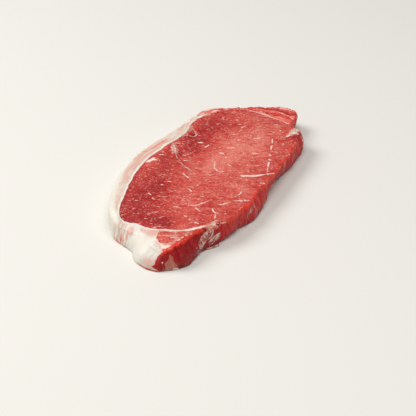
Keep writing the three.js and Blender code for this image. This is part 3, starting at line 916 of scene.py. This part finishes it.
# ---- Chine muscle -----------------------------------------------------------------------------
# The loose muscle at the far end. It has come away from the eye muscle a little, lies lower, and its
# cut face is ridged along its length where its bundles have parted.

CHINE_FATS = [
    (0.4, CHINE_SEAM[1:-1]), (0.3, [(110, 3), (111, -3.5), (110.4, -8), (109, -15), (105, -21.5)]),
    (0.3, [(115, -3), (116.6, -10), (116.4, -16)]), (0.2, [(104, 8), (105.4, 4), (105, 0)]),
]
CHINE_RIDGES = 2.6  # how many ridges there are from the seam to the rim


def chine_ridge(plan, gap):
    """1 on a ridge of the chine muscle and -1 in a groove. They fan out, drift and fade."""
    across = gap / (gap + nearest(chine_rim, plan.places)[0])
    spots = np.column_stack([plan.places, gap])
    drift = 1.7 * ripple(spots, (9, 14, 12), 11)
    strong = 0.75 + 0.6 * ripple(spots, (7, 12, 7), 13)
    return -strong * np.cos(2 * math.pi * CHINE_RIDGES * across + drift)


def chine_relief(plan):
    """How far the chine muscle's cut face lies from the level of the eye muscle's."""
    gap = gap_to(chine_seam, plan.places)
    return step(gap, 0, 1.6) * (-1.35 + 0.85 * chine_ridge(plan, gap))


chine_rim = smooth_path(CHINE_RIM[2:], spacing=1.5)
chine, chine_plan = slab(
    "chine_muscle_lean",
    (smooth_path(CHINE_TIP), smooth_path(CHINE_RIM),
     smooth_path([CHINE_TOP, CHINE_RIM[-1][:2]], count=8), chine_seam),
    (56, 108), grade_u=(0.2, 0.3), relief=chine_relief,
)
mark_lean(chine, chine_plan, CHINE_FATS)
ridges = chine_ridge(chine_plan, gap_to(chine_seam, chine_plan.places))
# Paler on the ridges and deeper in the grooves: painted highlight and painted shade of the ridged face.
mark(chine, tone=tone_of(chine_plan) + 1.3 * ridges)
loose_lean = raw_beef("raw_beef_pulled_apart", "#9E1016", "#C93B31", "#E27A6B", "#D01A1C", flecks=0.7)
chine.data.materials.append(loose_lean)
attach(chine, "root")
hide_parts("chine_muscle")

# ---- Torn skins -------------------------------------------------------------------------------
# Connective tissue that the knife has torn: over the joint of the tail muscle and the eye, on the
# walls, and frayed on the cut face. It hangs in thin wet strands that lie flat on the meat.


def on_wall(places):
    """Spots for places along the outline and heights. Above the wall's top they run in over the face."""
    index = np.mod(places[:, 0] / outline_step, len(outline))
    stops = np.arange(len(round_outline))
    rim = np.stack([np.interp(index, stops, column) for column in round_outline[:, :2].T], 1)
    plan = Plan(rim)
    above = places[:, 1] - cut_face(plan, 0)
    plan = Plan(rim - plan.outward * np.maximum(above, 0)[:, None])
    top = cut_face(plan, 0)
    spots = stand(plan, top, np.where(above > 0, 0, np.clip(1 - places[:, 1] / top, 0, 1)))
    tilt = step(above, *SKIN_EDGE)[:, None]
    normals = np.column_stack([plan.outward * (1 - tilt), tilt])
    return spots, normals / np.linalg.norm(normals, axis=1)[:, None]


def on_face(places):
    """Spots for places on the upper cut face."""
    plan = Plan(places)
    spots = stand(plan, cut_face(plan, 0), np.zeros(len(places)))
    return spots, np.tile([0.0, 0.0, 1.0], (len(places), 1))


COURSE_STEP = 0.25  # spacing of the points along a strand's course
SKIN_STEP = 0.5  # from one ring of points to the next along a strand
SKIN_SINKS = 0.3  # how deep a strand's underside lies in the meat
SKIN_RING = np.array([-1, -0.55, 0, 0.55, 1, 0.5, 0, -0.5])  # across a strand: five above, three below


def strands(name, groups, spots_on):
    """Strands of torn skin, each a thin closed lens. A group is how far its strands lie to each side of
    its course, how many they are, their half width, their thickness and the course."""
    dice = np.random.default_rng(11)
    verts, faces, total = [], [], 0
    for spread, count, half_width, thick, course in groups:
        middle = smooth_path(course, COURSE_STEP)
        for _ in range(count):
            first, last = dice.uniform(0, 0.4), dice.uniform(0.6, 1)
            offset, wide, high = dice.uniform(-1, 1), dice.uniform(0.5, 1.2), dice.uniform(0.5, 1.2)
            steps = max(4, round(len(middle) * (last - first) * COURSE_STEP / SKIN_STEP))
            path = at_fractions(middle, np.linspace(first, last, steps + 1))
            way = np.gradient(path, axis=0)
            side = np.stack([-way[:, 1], way[:, 0]], 1) / np.linalg.norm(way, axis=1)[:, None]
            run = np.arange(steps + 1) * SKIN_STEP
            own = (run, 7.0 * offset, 7.0 * offset)
            wander = spread * offset + 0.8 * ripple(own, (3.5, 1, 1), 3)
            taper = np.sin(math.pi * np.linspace(0.04, 0.96, steps + 1)) ** 0.7
            width = half_width * wide * taper * (1 + 0.5 * ripple(own, (1.3, 1, 1), 9))
            across = wander[:, None] + width[:, None] * SKIN_RING
            places = path[:, None] + side[:, None] * across[:, :, None]
            spots, normals = spots_on(places.reshape(-1, 2))
            upper = np.arange(len(SKIN_RING)) < 5
            lift = np.where(upper, thick * high * taper[:, None] * (1 - SKIN_RING**2), -SKIN_SINKS)
            spots += normals * (lift.reshape(-1, 1) - 0.05)
            verts.append(np.minimum(spots, (np.inf, np.inf, HIGHEST)))
            index = total + np.arange(lift.size).reshape(lift.shape)
            turn = np.roll(index, -1, axis=1)
            faces += np.stack([index[:-1], turn[:-1], turn[1:], index[1:]], -1).reshape(-1, 4).tolist()
            faces += [index[0, ::-1].tolist(), index[-1].tolist()]
            total += lift.size
    return new_piece(name, np.vstack(verts), faces)


WALL_STRANDS = [
    (2.8, 24, 0.42, 0.2, [(-6, 18), (-8, 14.5), (-10.3, 10.8), (-18, 7.5), (-25, 4), (-28, 1.5)]),
    (1.9, 13, 0.38, 0.2, [(4, 16), (1.5, 12), (-3, 8.8), (-7, 6.5), (-12, 2.5)]),
    (1.6, 9, 0.3, 0.15, [(8, 18.5), (2, 17.5), (-5, 15.5), (-9, 12)]),
    (0.7, 7, 0.4, 0.5, [(0, 1.6), (-6, 0.9), (-13, 0.8)]),
    (1.1, 9, 0.3, 0.2, [(45.5, 14.5), (43, 11.8), (38, 10.3), (35.5, 8), (34.5, 5)]),
    (0.5, 4, 0.3, 0.2, [(107, 14.2), (108.6, 12), (110, 8), (111, 3.5)]),
    (0.4, 3, 0.25, 0.2, [(130, 10.5), (131.6, 7.6), (133, 4.5)]),
    (0.8, 5, 0.3, 0.2, [(186, 12), (183, 8), (184, 4)]), (0.6, 4, 0.3, 0.2, [(205, 13), (207, 9)]),
]
FACE_STRANDS = [
    (2.3, 18, 0.17, 0.1, [(25, 44.5), (21.5, 40.8), (17.5, 38.2), (12.5, 35.6), (7.4, 32.5)]),
    (0.5, 4, 0.2, 0.15, [(24.5, 43.8), (26.6, 41.2), (26.4, 36.8)]),
    (0.4, 3, 0.16, 0.12, [(23, 43), (22.6, 39), (20, 36)]),
    (1.0, 6, 0.12, 0.1, [(8, 32.5), (3.7, 28.2), (-0.5, 22), (-3.3, 15.9), (-2.5, 11), (-3.9, 7)]),
    (0.35, 5, 0.26, 0.25, [
        (54, 43.3), (52.6, 39.5), (50.9, 36.4), (46.2, 33.8), (42.8, 36), (41.6, 39), (37.5, 42),
        (32, 44.2),
    ]),
    (1.2, 8, 0.18, 0.12, [(71, -27.4), (74, -29.2), (78, -30.4), (82, -30.6)]),
]


def silverskin(name, white):
    """Torn connective tissue, wet and half see-through. The eye sees pale streaks, and red between."""
    skin, tree, _, patch, streak = new_material(name, 0.4, (0.35, 3, 0.6), (1.3, 3, 0.7))
    clear = sum_of(tree, white, (patch, 2.1), (streak, 1.2))
    dress(
        tree, streak, 0.6, 0.0002,
        Base_Color=coats(tree, "#B2342C", (share(tree, (clear, 0.45, 0.95)), "#EBC8B6")),
        Roughness=sum_of(tree, 0.2, (streak, 0.3)), IOR=1.38,
        Subsurface_Weight=0.3, Subsurface_Radius=(1.0, 0.4, 0.3), Subsurface_Scale=0.0012,
    )
    return skin


for name, groups, spots_on, white in (
    ("wall_silverskin", WALL_STRANDS, on_wall, -0.9), ("face_silverskin", FACE_STRANDS, on_face, -0.62),
):
    piece = strands(name, groups, spots_on)
    piece.data.materials.append(silverskin("torn_" + name, white))
    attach(piece, "root")

# ---- Fat nodule -------------------------------------------------------------------------------
# A soft lump of fat in the corner between the eye and the chine muscle, torn open in flat lobes. It
# lies half sunk in the lean and hangs a little over the edge.

NODULE = [  # middle, radii, and how far the middle lies above the cut face
    ((77.0, -30.0), (3.0, 1.7, 1.0), -0.45), ((80.6, -31.8), (3.2, 2.4, 1.3), -0.5),
    ((82.6, -29.6), (2.6, 2.0, 1.2), -0.5),
    ((84.8, -32.8), (2.8, 2.5, 1.7), -1.1), ((86.8, -29.6), (1.8, 2.2, 1.3), -0.9),
    ((79.0, -34.2), (2.0, 1.2, 1.1), -0.9),
]
NODULE_VOXEL = 0.00022  # in metres, the size that its surface is rebuilt at
lobes = []
for (x, y), radii, rise in NODULE:
    spot, _ = on_face(np.array([[x, y]], float))
    bpy.ops.mesh.primitive_ico_sphere_add(subdivisions=4, radius=1)
    lobe = bpy.context.object
    ball = np.array([v.co for v in lobe.data.vertices])
    ball *= np.array(radii) * (1 + 0.2 * ripple(ball * 3 + x, (2.2, 2.2, 2.2), 29))[:, None]
    lobe.data.vertices.foreach_set("co", ((ball + spot[0] + (0, 0, rise)) / 1000).ravel())
    lobes.append(lobe)
with bpy.context.temp_override(active_object=lobes[0], selected_editable_objects=lobes):
    bpy.ops.object.join()
nodule = lobes[0]
nodule.name = "fat_nodule"
blend = nodule.modifiers.new("blend", "REMESH")
blend.mode, blend.voxel_size, blend.use_smooth_shade = "VOXEL", NODULE_VOXEL, True
soften = nodule.modifiers.new("soften", "SMOOTH")
soften.iterations = 25
with bpy.context.temp_override(object=nodule, active_object=nodule):
    bpy.ops.object.modifier_apply(modifier="blend")
    bpy.ops.object.modifier_apply(modifier="soften")
low = np.array([v.co for v in nodule.data.vertices]) * 1000
low += 0.35 * np.stack([ripple(low, (1.3, 1.0, 0.9), seed) for seed in (61, 67, 71)], 1)
low[:, 2] = np.minimum(low[:, 2], HIGHEST)
nodule.data.vertices.foreach_set("co", (low / 1000).ravel())
worn = ripple(low, (2.2, 2.2, 2.2), 3)
mark(
    nodule, rosy=0.75 + 0.6 * worn + 0.4 * step(-low[:, 1], 43.4, 46),
    bloody=0.1 + 0.3 * step(-low[:, 1], 43.6, 46) + 0.5 * worn, white=0.15 - 0.6 * worn,
)
nodule.data.materials.append(bpy.data.materials["hard_white_beef_fat"])
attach(nodule, "root")

# ---- Studio -----------------------------------------------------------------------------------
# A plain pale table, a big soft lamp over the fat cap's side and a pale room.

FLOOR_SIZE = 6.0
bpy.ops.mesh.primitive_plane_add(size=FLOOR_SIZE)
floor = bpy.context.object
floor.name = "pale_floor"
paper = bpy.data.materials.new("matt_white_paper")
paper.use_nodes = True
sheet = paper.node_tree.nodes["Principled BSDF"]
feed(paper.node_tree, sheet, {"Base Color": linear("#DAD7D0"), "Roughness": 0.9})
floor.data.materials.append(paper)

world = bpy.data.worlds.new("pale_room")
bpy.context.scene.world = world
world.use_nodes = True
glow = world.node_tree.nodes["Background"]
feed(world.node_tree, glow, {"Color": linear("#FFFFFF"), "Strength": 0.28})

LAMPS = {  # place, size and power of each soft lamp, in metres and watts
    "key_lamp": ((-0.15, 1.2, 1.25), 1.0, 22.0),
    "overhead_lamp": ((-0.5, -0.3, 1.5), 1.4, 16.0),
}
for name, (place, size, power) in LAMPS.items():
    light = bpy.data.lights.new(name, "AREA")
    light.shape, light.size, light.energy = "DISK", size, power
    lamp = bpy.data.objects.new(name, light)
    lamp.location = place
    lamp.rotation_euler = (-Vector(place)).to_track_quat("-Z", "Y").to_euler()
    bpy.context.scene.collection.objects.link(lamp)

CAMERA_AIM = Vector((-0.0252, -0.01625, 0))
CAMERA_DISTANCE, CAMERA_LENS = 1.351, 165.5  # in metres, and in millimetres on a sensor of 36
CAMERA_AZIMUTH, CAMERA_ELEVATION, CAMERA_ROLL = (math.radians(a) for a in (-68.6, 30.57, 2.115))
back = Vector((
    math.sin(CAMERA_AZIMUTH) * math.cos(CAMERA_ELEVATION),
    -math.cos(CAMERA_AZIMUTH) * math.cos(CAMERA_ELEVATION),
    math.sin(CAMERA_ELEVATION),
))
level = Vector((0, 0, 1)).cross(back).normalized()
upright = back.cross(level)
right = math.cos(CAMERA_ROLL) * level + math.sin(CAMERA_ROLL) * upright
up = math.cos(CAMERA_ROLL) * upright - math.sin(CAMERA_ROLL) * level
camera = bpy.data.objects.new("camera", bpy.data.cameras.new("camera"))
camera.data.lens, camera.data.sensor_width = CAMERA_LENS, 36
axes = Matrix((right, up, back)).transposed().to_4x4()
camera.matrix_world = Matrix.Translation(CAMERA_AIM + back * CAMERA_DISTANCE) @ axes
bpy.context.scene.collection.objects.link(camera)
bpy.context.scene.camera = camera
bpy.context.scene.view_settings.view_transform = "Standard"
